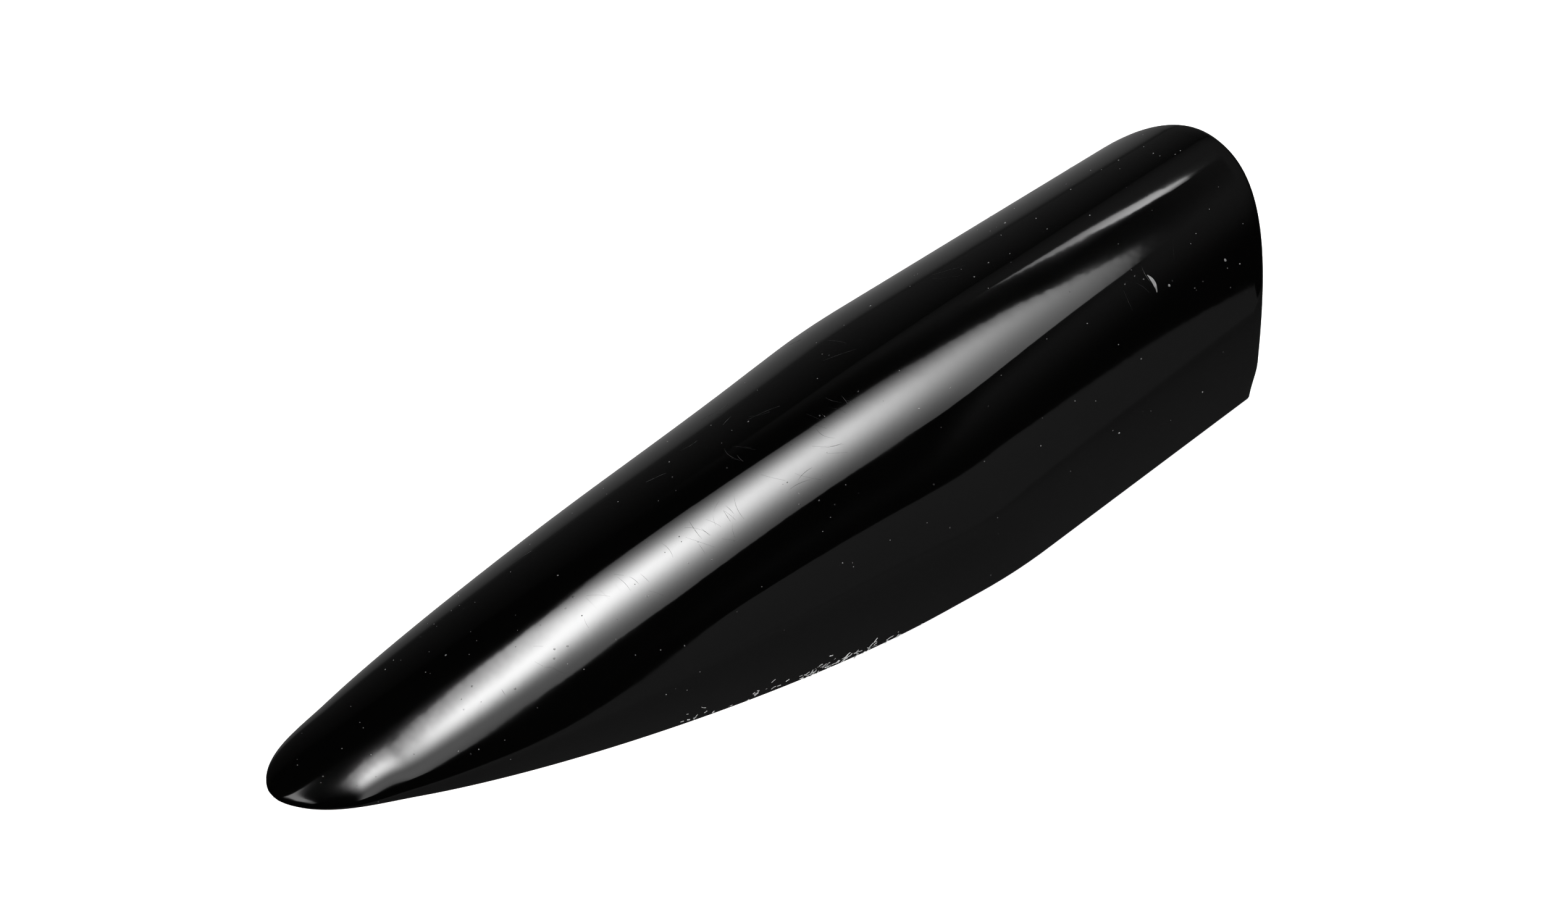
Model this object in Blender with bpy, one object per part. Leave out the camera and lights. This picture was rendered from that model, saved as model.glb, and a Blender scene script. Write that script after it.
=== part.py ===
"""Long almond press-on fingernail: moulded shell, three gel coats and a peel-off adhesive tab.

The nail lies on its straight side rims with its point toward -X and its base end toward +X.
The origin is the bottom centre of its bounding box. All dimensions below are millimetres.
Lengths along the nail are measured from the middle of the base end toward the point.
"""

import math

import bmesh
import bpy
from mathutils import Vector

MM = 0.001

# Plan outline
LENGTH = 38.0
BASE_HALF_WIDTH = 5.05
KINK_HALF_WIDTH = 5.51
KINK_AT = 13.2
BASE_ARC = 2.95
BASE_ARC_POWER = 2.33
TAPER_START_POWER = 1.075
TAPER_END_POWER = 0.494
NOSE_WIDENING = 0.13
NOSE_LENGTH = 3.8
TIP_FAN = 3.0

# Side profile
CREST_HEIGHT = 5.31
CREST_SLOPE = -0.0176
CREST_BOW = -0.00103
CREST_BOW_GROWTH = 0.0000122
FLAT_RIM_END = 16.0
RIM_RISE_POWER = 1.497

# Cross-section: an arch a little wider than the nail, cut off at the side rims
ARCH_POWER = 2.077
ARCH_POWER_CHANGE = 0.0046
ARCH_OVERHANG = 0.061
ARCH_OVERHANG_CHANGE = -0.0059
ARCH_OVERHANG_LEAST = 0.004

# Wall, from the outside in
TOP_COAT = 0.12
COLOUR_COAT = 0.08
BASE_COAT = 0.04
COAT_GAP = 0.012
COAT_SETBACK = 0.05
COATS = TOP_COAT + COLOUR_COAT + BASE_COAT + 3 * COAT_GAP
WELL_WALL = 0.45
FREE_EDGE_WALL = 0.72
TIP_WALL = 0.30
TIP_THINNING = 6.0
STOP_RIDGE_AT = 16.5
STOP_RIDGE_BULGE = 1.6
STOP_RIDGE_LENGTH = 1.4
TIP_FILL = 0.8
ROOM_POWER = 4
TURN_FROM = 0.8

# Adhesive tab in the glue well
TAB_START = 3.2
TAB_END = 13.2
TAB_HALF_SPAN = 0.60
TAB_CORNER = 0.30
TAB_GAP = 0.045
LAYER_GAP = 0.015
ADHESIVE = 0.12
CARRIER = 0.10
LINER = 0.09
LINER_MARGIN = 0.25
PULL_TAB_LENGTH = 6.0
PULL_TAB_NECK = 2.5
PULL_TAB_HALF_SPAN = 0.42
PULL_TAB_SAG = 0.55

# Mesh
ALONG_STEPS = 30
ACROSS_STEPS = 20
TIP_CROWDING = 1.6
TAB_ALONG_STEPS = 16
TAB_ACROSS_STEPS = 12
PROBE = 0.001


def smooth(low, high, value):
    """Smooth step from 0 below low to 1 above high."""
    t = min(max((value - low) / (high - low), 0.0), 1.0)
    return t * t * (3.0 - 2.0 * t)


def half_width(x):
    """Half the nail's width at x: straight to the kink, then tapering to the blunt rounded point."""
    if x < KINK_AT:
        share = (x - BASE_ARC) / (KINK_AT - BASE_ARC)
        return BASE_HALF_WIDTH + (KINK_HALF_WIDTH - BASE_HALF_WIDTH) * share
    share = min((x - KINK_AT) / (LENGTH - KINK_AT), 1.0)
    width = KINK_HALF_WIDTH * (1.0 - share ** TAPER_START_POWER) ** TAPER_END_POWER
    return width * (1.0 + NOSE_WIDENING * smooth(LENGTH - NOSE_LENGTH, LENGTH, x))


def crest_height(x):
    """Height of the nail's middle line."""
    d = x - KINK_AT
    return CREST_HEIGHT + CREST_SLOPE * d + CREST_BOW * d ** 2 + CREST_BOW_GROWTH * d ** 3


def rim_height(x):
    """Height of the side rims: flat on the table, then rising to meet the crest at the point."""
    share = max((x - FLAT_RIM_END) / (LENGTH - FLAT_RIM_END), 0.0)
    return crest_height(LENGTH) * share ** RIM_RISE_POWER


def arch_drop(across, x):
    """Share of the drop from crest to rim, 0 at the middle and 1 at the rim."""
    overhang = max(ARCH_OVERHANG + ARCH_OVERHANG_CHANGE * (x - KINK_AT), ARCH_OVERHANG_LEAST)
    edge = 1.0 / (1.0 + overhang)
    power = ARCH_POWER + ARCH_POWER_CHANGE * (x - KINK_AT)

    def drop(r):
        return 1.0 - (1.0 - r ** power) ** (1.0 / power)

    return drop(across * edge) / drop(edge)


def outer_point(along, across):
    """Point of the outer skin; along runs 0 to 1 from base to point, across -1 to 1 between rims."""
    base = BASE_ARC * abs(across) ** BASE_ARC_POWER
    x = base + (LENGTH - base) * along
    crest = crest_height(x)
    z = crest - (crest - rim_height(x)) * arch_drop(abs(across), x)
    return Vector((LENGTH / 2 - x, across * half_width(x), z))


def outer_normal(along, across):
    """Outward unit normal of the outer skin, from differences that stay on the skin."""
    along = min(max(along, PROBE), 1.0 - 5 * PROBE)
    across = min(max(across, PROBE - 1.0), 1.0 - PROBE)
    lengthwise = outer_point(along + PROBE, across) - outer_point(along - PROBE, across)
    crosswise = outer_point(along, across + PROBE) - outer_point(along, across - PROBE)
    return crosswise.cross(lengthwise).normalized()


def edge_inward(x, y):
    """Unit direction from a rim point into the nail within the rim face: sideways, then fanning in."""
    if x > LENGTH - PROBE:
        toward = Vector((-1.0, 0.0))
    else:
        toward = Vector((min(x, LENGTH - TIP_FAN), 0.0)) - Vector((x, y))
        toward.normalize()
    slope = (rim_height(x) - rim_height(x - PROBE)) / PROBE
    return Vector((-toward.x, toward.y, toward.x * slope)).normalized()


def wall_thickness(x):
    """Thickness of the shell past the stop ridge, filed thinner toward the point."""
    return FREE_EDGE_WALL + (TIP_WALL - FREE_EDGE_WALL) * smooth(LENGTH - TIP_THINNING, LENGTH, x)


def room_for_wall(x):
    """Share of its full thickness that the wall has under the crest: less where the arch is shallow."""
    ratio = TIP_FILL * (crest_height(x) - rim_height(x)) / (COATS + wall_thickness(x))
    return ratio / (1.0 + ratio ** ROOM_POWER) ** (1.0 / ROOM_POWER)


def wall_direction(along, across):
    """Direction through the wall for a unit of thickness.

    It is square to the skin, and turns into the rim face at the rims and at the point, so that every
    layer ends in that face and the layers stay nested where the nail runs out to a thin wedge.
    """
    outer = outer_point(along, across)
    x = LENGTH / 2 - outer.x
    room = max(room_for_wall(x), 0.0)
    inward = edge_inward(x, outer.y)
    if room == 0.0:
        return inward
    normal = outer_normal(along, across)
    turned = smooth(TURN_FROM * room, 1.0, abs(across))
    direction = (inward * turned - normal * (1.0 - turned)).normalized()
    direction /= max(-direction.dot(normal), 0.75)
    return direction * room + inward * (1.0 - room)


def skin_point(along, across, depth):
    """Point at a depth below the outer skin."""
    return outer_point(along, across) + wall_direction(along, across) * depth


def shell_inside(along, across):
    """Depth of the shell's inner face: thin in the glue well, thicker past the stop ridge."""
    x = LENGTH / 2 - outer_point(along, across).x
    ridge = STOP_RIDGE_AT - STOP_RIDGE_BULGE * across ** 2
    share = smooth(ridge, ridge + STOP_RIDGE_LENGTH, x)
    return COATS + WELL_WALL + (wall_thickness(x) - WELL_WALL) * share


def material(name, colour, roughness):
    """Principled material of one sub-part."""
    made = bpy.data.materials.new(name)
    made.use_nodes = True
    shader = made.node_tree.nodes["Principled BSDF"]
    shader.inputs["Base Color"].default_value = (*colour, 1.0)
    shader.inputs["Roughness"].default_value = roughness
    shader.inputs["Metallic"].default_value = 0.0
    return made


def finish(name, bm, colour, roughness, collection, parent):
    """Turn a bmesh into a named, coloured, smooth-shaded object under the nail's frame."""
    bmesh.ops.recalc_face_normals(bm, faces=bm.faces)
    mesh = bpy.data.meshes.new(name)
    bm.to_mesh(mesh)
    bm.free()
    mesh.shade_smooth()
    mesh.set_sharp_from_angle(angle=math.radians(35.0))
    mesh.materials.append(material(name, colour, roughness))
    made = bpy.data.objects.new(name, mesh)
    made.parent = parent
    collection.objects.link(made)
    return made


def two_triangles(bm, a, b, c, d):
    """Split the cell a-b-c-d always the same way, so that nested sheets never cross."""
    for corners in ((a, b, c), (a, c, d)):
        if len(set(corners)) == 3:
            bm.faces.new(corners)


def close_sheets(bm, upper, lower):
    """Skin two matching grids of vertices and join them around their edges."""
    rows = len(upper)
    columns = len(upper[0])
    for i in range(rows - 1):
        for j in range(columns - 1):
            for sheet in (upper, lower):
                two_triangles(bm, sheet[i][j], sheet[i + 1][j], sheet[i + 1][j + 1], sheet[i][j + 1])
    border = [(0, j) for j in range(columns)]
    border += [(i, columns - 1) for i in range(1, rows)]
    border += [(rows - 1, j) for j in range(columns - 2, -1, -1)]
    border += [(i, 0) for i in range(rows - 2, 0, -1)]
    for (i, j), (k, m) in zip(border, border[1:] + border[:1]):
        if upper[i][j] is not upper[k][m]:
            two_triangles(bm, upper[i][j], upper[k][m], lower[k][m], lower[i][j])


def nail_stations(setback):
    """Grid of (along, across) over the whole nail; a coat stops a setback short of the edges."""
    grid = []
    for i in range(ALONG_STEPS + 1):
        along = 1.0 - (1.0 - i / ALONG_STEPS) ** TIP_CROWDING
        along = max(along, setback / LENGTH)
        row = []
        for j in range(ACROSS_STEPS + 1):
            across = math.sin((j / ACROSS_STEPS - 0.5) * math.pi)
            if j in (0, ACROSS_STEPS) and setback > 0.0:
                step = outer_point(along, across) - outer_point(along, across * (1.0 - PROBE))
                across *= 1.0 - min(setback * PROBE / max(step.length, PROBE ** 2), 0.02)
            row.append((along, across))
        grid.append(row)
    return grid


def nail_layer(name, outside, inside, setback, colour, roughness, collection, parent):
    """One closed layer of the nail between two depths, its sheets meeting in one vertex at the point."""
    bm = bmesh.new()
    sheets = []
    for depth in (outside, inside):
        sheet = []
        for row in nail_stations(setback):
            if row[0][0] > 1.0 - PROBE:
                tip = bm.verts.new(skin_point(1.0, 0.0, depth(1.0, 0.0)) * MM)
                sheet.append([tip] * len(row))
            else:
                sheet.append([bm.verts.new(skin_point(u, v, depth(u, v)) * MM) for u, v in row])
        sheets.append(sheet)
    close_sheets(bm, *sheets)
    return finish(name, bm, colour, roughness, collection, parent)


def tab_layer(name, first_gap, thickness, margin, pull_tab, colour, roughness, collection, parent):
    """One closed layer of the adhesive tab, following the glue well, with rounded corners."""
    start = TAB_START - margin
    root = TAB_END + margin
    end = root + pull_tab
    span = TAB_HALF_SPAN + margin / KINK_HALF_WIDTH
    bm = bmesh.new()
    sheets = []
    for extra in (0.0, thickness):
        sheet = []
        for i in range(TAB_ALONG_STEPS + 1):
            a = math.sin((i / TAB_ALONG_STEPS - 0.5) * math.pi)
            row = []
            for j in range(TAB_ACROSS_STEPS + 1):
                b = 2.0 * j / TAB_ACROSS_STEPS - 1.0
                rounded_a = a * math.sqrt(1.0 - TAB_CORNER * b * b / 2)
                rounded_b = b * math.sqrt(1.0 - TAB_CORNER * a * a / 2)
                x = start + (end - start) * (rounded_a + 1.0) / 2
                pulled = smooth(root, root + PULL_TAB_NECK, x)
                half_span = span + (PULL_TAB_HALF_SPAN - span) * pulled
                sag = PULL_TAB_SAG * smooth(root, root + PULL_TAB_LENGTH, x)
                along = x / LENGTH
                across = rounded_b * half_span
                depth = shell_inside(along, across) * (1.0 - pulled)
                depth += (COATS + FREE_EDGE_WALL) * pulled
                depth += first_gap + extra + sag
                row.append(bm.verts.new(skin_point(along, across, depth) * MM))
            sheet.append(row)
        sheets.append(sheet)
    close_sheets(bm, *sheets)
    return finish(name, bm, colour, roughness, collection, parent)


def build():
    """Clear the scene and make the nail."""
    for old in list(bpy.data.objects):
        bpy.data.objects.remove(old)
    collection = bpy.data.collections.new("press_on_fingernail")
    bpy.context.scene.collection.children.link(collection)
    nail = bpy.data.objects.new("nail_frame", None)
    collection.objects.link(nail)

    coats = (
        ("top_coat", TOP_COAT, (0.02, 0.02, 0.022), 0.04),
        ("colour_coat", COLOUR_COAT, (0.004, 0.004, 0.005), 0.15),
        ("base_coat", BASE_COAT, (0.55, 0.53, 0.50), 0.25),
    )
    start = 0.0
    for name, thickness, colour, roughness in coats:
        end = start + thickness
        nail_layer(name, lambda u, v, d=start: d, lambda u, v, d=end: d,
                   COAT_SETBACK, colour, roughness, collection, nail)
        start = end + COAT_GAP
    nail_layer("nail_shell", lambda u, v: COATS, shell_inside,
               0.0, (0.72, 0.69, 0.64), 0.35, collection, nail)

    tab_layers = (
        ("shell_side_adhesive", ADHESIVE, (0.80, 0.82, 0.84), 0.20),
        ("carrier_film", CARRIER, (0.85, 0.87, 0.88), 0.15),
        ("finger_side_adhesive", ADHESIVE, (0.80, 0.82, 0.84), 0.20),
    )
    gap = TAB_GAP
    for name, thickness, colour, roughness in tab_layers:
        tab_layer(name, gap, thickness, 0.0, 0.0, colour, roughness, collection, nail)
        gap += thickness + LAYER_GAP
    tab_layer("release_liner", gap, LINER, LINER_MARGIN, PULL_TAB_LENGTH,
              (0.75, 0.84, 0.90), 0.30, collection, nail)


build()
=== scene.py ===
"""Looks of the long black almond press-on fingernail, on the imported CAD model.

The nail lies on its side rims, point toward -X, base end toward +X. Shape functions work in
millimetres, with x measured from the middle of the base end toward the point.
"""

import math
import random

import bmesh
import bpy
import numpy as np
from mathutils import Matrix, Vector


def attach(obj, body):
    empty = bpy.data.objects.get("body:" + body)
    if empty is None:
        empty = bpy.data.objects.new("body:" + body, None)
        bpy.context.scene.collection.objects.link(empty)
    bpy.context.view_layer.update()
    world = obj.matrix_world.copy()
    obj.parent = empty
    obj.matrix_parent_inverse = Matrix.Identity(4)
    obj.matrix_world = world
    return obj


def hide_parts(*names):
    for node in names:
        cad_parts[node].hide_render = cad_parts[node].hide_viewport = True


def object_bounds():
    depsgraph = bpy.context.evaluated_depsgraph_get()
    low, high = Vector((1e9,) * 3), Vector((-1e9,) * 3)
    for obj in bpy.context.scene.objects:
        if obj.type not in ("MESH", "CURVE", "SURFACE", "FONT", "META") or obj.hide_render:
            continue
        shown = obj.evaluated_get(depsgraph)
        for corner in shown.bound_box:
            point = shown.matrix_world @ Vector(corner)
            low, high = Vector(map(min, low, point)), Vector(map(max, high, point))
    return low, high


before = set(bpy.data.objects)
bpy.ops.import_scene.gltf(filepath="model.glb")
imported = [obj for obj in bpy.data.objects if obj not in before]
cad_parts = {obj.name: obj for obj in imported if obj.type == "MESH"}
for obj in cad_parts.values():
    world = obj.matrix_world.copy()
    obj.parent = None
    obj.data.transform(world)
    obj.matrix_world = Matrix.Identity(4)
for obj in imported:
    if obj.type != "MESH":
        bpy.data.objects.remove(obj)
cad_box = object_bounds()

MM = 0.001
NAIL_BODY = "nail"
LINER_BODY = "liner"

# Outline and profile of the nail, as in the CAD model
LENGTH = 38.0
BASE_HALF_WIDTH = 5.05
KINK_HALF_WIDTH = 5.51
KINK_AT = 13.2
KINK_BLEND = 1.0
KINK_BLEND_KEPT = 3.0
KINK_BLEND_GONE = 20.0
BASE_ARC = 2.95
BASE_ARC_POWER = 2.33
CORNER_CUT = 0.24
CORNER_CUT_FROM = 0.94
TAPER_START_POWER = 1.075
TAPER_END_POWER = 0.494
NOSE_WIDENING = 0.13
NOSE_LENGTH = 3.8
TIP_FAN = 3.0
CREST_HEIGHT = 5.308
CREST_SLOPE = -0.0176
CREST_BOW = -0.00103
CREST_BOW_GROWTH = 0.0000122
FLAT_RIM_END = 16.0
RIM_RISE_POWER = 1.38
RIM_RISE_EASE = 0.08
ARCH_POWER = 2.077
ARCH_POWER_CHANGE = 0.0046
ARCH_OVERHANG = 0.061
ARCH_OVERHANG_CHANGE = -0.0059
ARCH_OVERHANG_LEAST = 0.004
ARCH_OVERHANG_EASE = 0.015

# Wall, from the outside in
TOP_COAT = 0.12
COLOUR_COAT = 0.08
BASE_COAT = 0.04
COAT_GAP = 0.012
COATS = TOP_COAT + COLOUR_COAT + BASE_COAT + 3 * COAT_GAP
WELL_WALL = 0.45
FREE_EDGE_WALL = 0.72
TIP_WALL = 0.30
TIP_THINNING = 6.0
STOP_RIDGE_AT = 16.5
STOP_RIDGE_BULGE = 1.6
STOP_RIDGE_LENGTH = 0.7
TIP_FILL = 0.8
ROOM_POWER = 4
TURN_FROM = 0.8
EDGE_STEP = 0.03
LEAST_FACING = 0.75

# Rolled edges of the gel, and the blunt nose at the point
BASE_INSET = 0.006
SETBACK_SHARE = 0.4
RIM_ROLL = 0.11
TIP_ROLL = 0.12
BASE_ROLL = 0.14
ROLL_SHARE = 0.48
LEAST_ROLL = 0.05
LEAST_RISE_FOR_ROLL = 1e-4
NOSE_ROUND = 0.10
NOSE_DEPTH = 0.05
NOSE_DEPTH_POWER = 1.5
LEAST_RISE = 1e-6

# Adhesive tab
TAB_START = 3.2
TAB_END = 13.2
TAB_HALF_SPAN = 0.60
TAB_CORNER = 0.30
TAB_GAP = 0.045
LAYER_GAP = 0.015
ADHESIVE = 0.12
CARRIER = 0.10
LINER = 0.09
LINER_MARGIN = 0.25
PULL_TAB_LENGTH = 6.0
PULL_TAB_NECK = 2.5
PULL_TAB_HALF_SPAN = 0.42
PULL_TAB_SAG = 0.55

# Mesh density
ALONG_STEPS = 200
ACROSS_STEPS = 84
ROLL_STEPS = 7
TIP_CROWDING = 1.7
TAB_STEPS = 60
PROBE = 0.001
WELD = 0.0005
SLIVER = 0.0002
SMOOTH_UNDER = 38.0
SMOOTH_DEBRIS_UNDER = 80.0
BEVEL_OVER = 50.0
SHEET_BEVEL = 0.2

NOISE_ROUGHNESS = 0.55
GEL_IOR = 1.45


# ---------------------------------------------------------------- shape of the nail

def smooth(low, high, value):
    """Smooth step from 0 below low to 1 above high."""
    t = np.clip((value - low) / (high - low), 0.0, 1.0)
    return t * t * (3.0 - 2.0 * t)


def sharp_half_width(x):
    """Half the nail's width at x, with its corner at the kink."""
    near = BASE_HALF_WIDTH + (KINK_HALF_WIDTH - BASE_HALF_WIDTH) * (x - BASE_ARC) / (KINK_AT - BASE_ARC)
    share = np.clip((x - KINK_AT) / (LENGTH - KINK_AT), 0.0, 1.0)
    far = KINK_HALF_WIDTH * (1.0 - share ** TAPER_START_POWER) ** TAPER_END_POWER
    return np.where(x < KINK_AT, near, far)


def half_width(x):
    """Half the nail's width at x, the kink rounded off and the nose slightly blunter."""
    blend = KINK_BLEND * (1.0 - smooth(KINK_BLEND_KEPT, KINK_BLEND_GONE, np.abs(x - KINK_AT)))
    steps = (-1.0, -0.5, 0.0, 0.5, 1.0)
    width = sum(sharp_half_width(x + blend * step) for step in steps) / len(steps)
    return width * (1.0 + NOSE_WIDENING * smooth(LENGTH - NOSE_LENGTH, LENGTH, x))


def round_over(distance, radius):
    """How far a surface turns in at a distance from an edge rounded with a radius."""
    inside = np.clip(radius - distance, 0.0, radius)
    return radius - np.sqrt(np.maximum(radius ** 2 - inside ** 2, 0.0))


def middle_line(x):
    """Height of the nail's middle line before the nose is rounded."""
    d = x - KINK_AT
    return CREST_HEIGHT + CREST_SLOPE * d + CREST_BOW * d ** 2 + CREST_BOW_GROWTH * d ** 3


def crest_height(x):
    """Height of the nail's middle line, rounded down at the nose."""
    return middle_line(x) - round_over(LENGTH - x, NOSE_ROUND)


def rim_height(x):
    """Height of the side rims: flat on the table, then rising to just under the crest at the nose."""
    share = np.clip((x - FLAT_RIM_END) / (LENGTH - FLAT_RIM_END), 0.0, 1.0)
    share = share ** 2 * (1.0 + RIM_RISE_EASE) / (share + RIM_RISE_EASE)
    nose = smooth(LENGTH - NOSE_LENGTH, LENGTH, x) ** NOSE_DEPTH_POWER
    return middle_line(LENGTH) * share ** RIM_RISE_POWER - NOSE_DEPTH * nose


def arch(x):
    """Edge fraction and power of the cross-section at x."""
    extra = ARCH_OVERHANG - ARCH_OVERHANG_LEAST + ARCH_OVERHANG_CHANGE * (x - KINK_AT)
    overhang = ARCH_OVERHANG_LEAST + (extra + np.sqrt(extra ** 2 + ARCH_OVERHANG_EASE ** 2)) / 2
    return 1.0 / (1.0 + overhang), ARCH_POWER + ARCH_POWER_CHANGE * (x - KINK_AT)


def bow(r, power):
    """Drop of a superellipse arch at a fraction r of its half width."""
    return 1.0 - (1.0 - r ** power) ** (1.0 / power)


def across_at_height(x, height):
    """Where across the nail (0 to 1) the skin stands a height above the rim."""
    edge, power = arch(x)
    rise = np.maximum(crest_height(x) - rim_height(x), LEAST_RISE)
    drop = np.clip(1.0 - height / rise, 0.0, 1.0) * bow(edge, power)
    return (1.0 - (1.0 - drop) ** power) ** (1.0 / power) / edge


def base_edge(across):
    """Where the base end's edge lies, curved back from the middle and cut at the corners."""
    v = np.abs(across)
    return BASE_ARC * v ** BASE_ARC_POWER + CORNER_CUT * smooth(CORNER_CUT_FROM, 1.0, v)


def outer_point(along, across):
    """Points of the outer skin; along runs 0 to 1 from base to point, across -1 to 1 between rims."""
    base = base_edge(across)
    x = base + (LENGTH - base) * along
    edge, power = arch(x)
    crest = crest_height(x)
    drop = bow(np.abs(across) * edge, power) / bow(edge, power)
    z = crest - (crest - rim_height(x)) * drop
    return np.stack([LENGTH / 2 - x, across * half_width(x), z], -1)


def unit(v):
    """Vectors scaled to length 1."""
    return v / np.maximum(np.linalg.norm(v, axis=-1, keepdims=True), 1e-12)


def outer_normal(along, across):
    """Outward unit normals of the outer skin, from differences that stay on the skin."""
    along = np.clip(along, PROBE, 1.0 - 2 * PROBE)
    across = np.clip(across, PROBE - 1.0, 1.0 - PROBE)
    lengthwise = outer_point(along + PROBE, across) - outer_point(along - PROBE, across)
    crosswise = outer_point(along, across + PROBE) - outer_point(along, across - PROBE)
    return unit(np.cross(crosswise, lengthwise))


def edge_inward(x, y):
    """Unit directions from rim points into the nail within the rim face, fanning in at the point."""
    toward = unit(np.stack([np.minimum(x, LENGTH - TIP_FAN) - x, -y], -1))
    slope = (rim_height(x) - rim_height(x - EDGE_STEP)) / EDGE_STEP
    return unit(np.stack([-toward[..., 0], toward[..., 1], toward[..., 0] * slope], -1))


def wall_thickness(x):
    """Thickness of the shell past the stop ridge, filed thinner toward the point."""
    return FREE_EDGE_WALL + (TIP_WALL - FREE_EDGE_WALL) * smooth(LENGTH - TIP_THINNING, LENGTH, x)


def room_for_wall(x):
    """Share of its full thickness that the wall has under the crest: less where the arch is shallow."""
    ratio = TIP_FILL * np.maximum(crest_height(x) - rim_height(x), 0.0) / (COATS + wall_thickness(x))
    return ratio / (1.0 + ratio ** ROOM_POWER) ** (1.0 / ROOM_POWER)


def roll_radius(x):
    """Radius of the rolled rim edge: small along the sides, larger at the point."""
    radius = RIM_ROLL + (TIP_ROLL - RIM_ROLL) * smooth(LENGTH - NOSE_LENGTH, LENGTH, x)
    rise = np.maximum(crest_height(x) - rim_height(x), LEAST_RISE_FOR_ROLL)
    return np.minimum(radius, ROLL_SHARE * rise + LEAST_ROLL)


def shell_inside(along, across):
    """Depth of the shell's inner face: thin in the glue well, thicker past the stop ridge."""
    x = LENGTH / 2 - outer_point(along, across)[..., 0]
    ridge = STOP_RIDGE_AT - STOP_RIDGE_BULGE * across ** 2
    share = smooth(ridge, ridge + STOP_RIDGE_LENGTH, x)
    return COATS + WELL_WALL + (wall_thickness(x) - WELL_WALL) * share


def skin_point(along, across, depth):
    """Points at a depth below the outer skin, with the rolled edges taken in."""
    outer = outer_point(along, across)
    x = LENGTH / 2 - outer[..., 0]
    room = room_for_wall(x)[..., None]
    inward = edge_inward(x, outer[..., 1])
    normal = outer_normal(along, across)
    turned = smooth(TURN_FROM * room[..., 0], 1.0, np.abs(across))[..., None]
    direction = unit(inward * turned - normal * (1.0 - turned))
    facing = -(direction * normal).sum(-1, keepdims=True)
    direction = direction / np.maximum(facing, LEAST_FACING)
    direction = direction * room + inward * (1.0 - room)
    share = np.clip(1.0 - depth / (COATS + WELL_WALL), 0.0, 1.0)
    height = outer[..., 2] - rim_height(x)
    rim_turn = round_over(height, roll_radius(x)) * share
    base_turn = round_over(along * LENGTH, BASE_ROLL * np.ones_like(along)) * share
    return outer + direction * (depth + base_turn)[..., None] + inward * rim_turn[..., None]


def along_stations():
    """Stations from base to point, crowded where the base edge rolls over and toward the point."""
    start = BASE_ROLL / LENGTH
    roll = [start * (1.0 - math.cos(math.pi / 2 * i / ROLL_STEPS)) for i in range(ROLL_STEPS)]
    rest = [1.0 - (1.0 - start) * (1.0 - i / ALONG_STEPS) ** TIP_CROWDING for i in range(ALONG_STEPS + 1)]
    return np.array(roll + rest)


def nail_grid(setback):
    """(along, across) arrays over the whole nail; a layer stops a setback above the rim face."""
    along = np.maximum(along_stations(), max(setback, BASE_INSET) / LENGTH)
    x_rim = BASE_ARC + (LENGTH - BASE_ARC) * along
    radius = roll_radius(x_rim)
    top = across_at_height(x_rim, radius)
    angles = np.linspace(math.pi / 2, 0.0, ROLL_STEPS + 1)[1:]
    columns = np.sin(np.linspace(-0.5, 0.5, ACROSS_STEPS + 1) * math.pi)[None, :] * top[:, None]
    roll = np.stack([across_at_height(x_rim, radius * (1.0 - math.cos(a))) for a in angles], -1)
    across = np.concatenate([-roll[:, ::-1], columns, roll], 1)
    if setback > 0.0:
        limit = across_at_height(x_rim, np.minimum(setback, SETBACK_SHARE * radius))
        across = np.clip(across, -limit[:, None], limit[:, None])
    return np.repeat(along[:, None], across.shape[1], 1), across


# ---------------------------------------------------------------- meshes

def close_sheets(upper, lower):
    """Vertices and faces of the closed solid between two matching grids of points."""
    rows, columns = upper.shape[:2]
    verts = np.concatenate([upper.reshape(-1, 3), lower.reshape(-1, 3)]) * MM
    shift = rows * columns
    faces = []
    for i in range(rows - 1):
        for j in range(columns - 1):
            a = i * columns + j
            cell = (a, a + columns, a + columns + 1, a + 1)
            faces.append(cell)
            faces.append(tuple(k + shift for k in reversed(cell)))
    border = list(range(columns))
    border += [i * columns + columns - 1 for i in range(1, rows)]
    border += [(rows - 1) * columns + j for j in range(columns - 2, -1, -1)]
    border += [i * columns for i in range(rows - 2, 0, -1)]
    for a, b in zip(border, border[1:] + border[:1]):
        faces.append((a, b, b + shift, a + shift))
    return verts, faces


def add_piece(name, verts, faces, material, body, replaced=None, sharp=SMOOTH_UNDER,
              bevel=0.0):
    """Make a visible piece, weld it, shade it smooth and attach it to its CAD body."""
    mesh = bpy.data.meshes.new(name)
    mesh.from_pydata([tuple(v) for v in verts], [], faces)
    bm = bmesh.new()
    bm.from_mesh(mesh)
    bmesh.ops.remove_doubles(bm, verts=bm.verts, dist=WELD * MM)
    bmesh.ops.dissolve_degenerate(bm, edges=bm.edges, dist=SLIVER * MM)
    bmesh.ops.recalc_face_normals(bm, faces=bm.faces)
    bm.to_mesh(mesh)
    bm.free()
    mesh.shade_smooth()
    mesh.set_sharp_from_angle(angle=math.radians(sharp))
    mesh.materials.append(material)
    piece = bpy.data.objects.new(name, mesh)
    bpy.context.scene.collection.objects.link(piece)
    if bevel > 0.0:
        rounding = piece.modifiers.new("edge_rounding", "BEVEL")
        rounding.width = bevel * MM
        rounding.segments = 2
        rounding.limit_method = "ANGLE"
        rounding.angle_limit = math.radians(BEVEL_OVER)
    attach(piece, body)
    if replaced:
        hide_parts(replaced)


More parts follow.
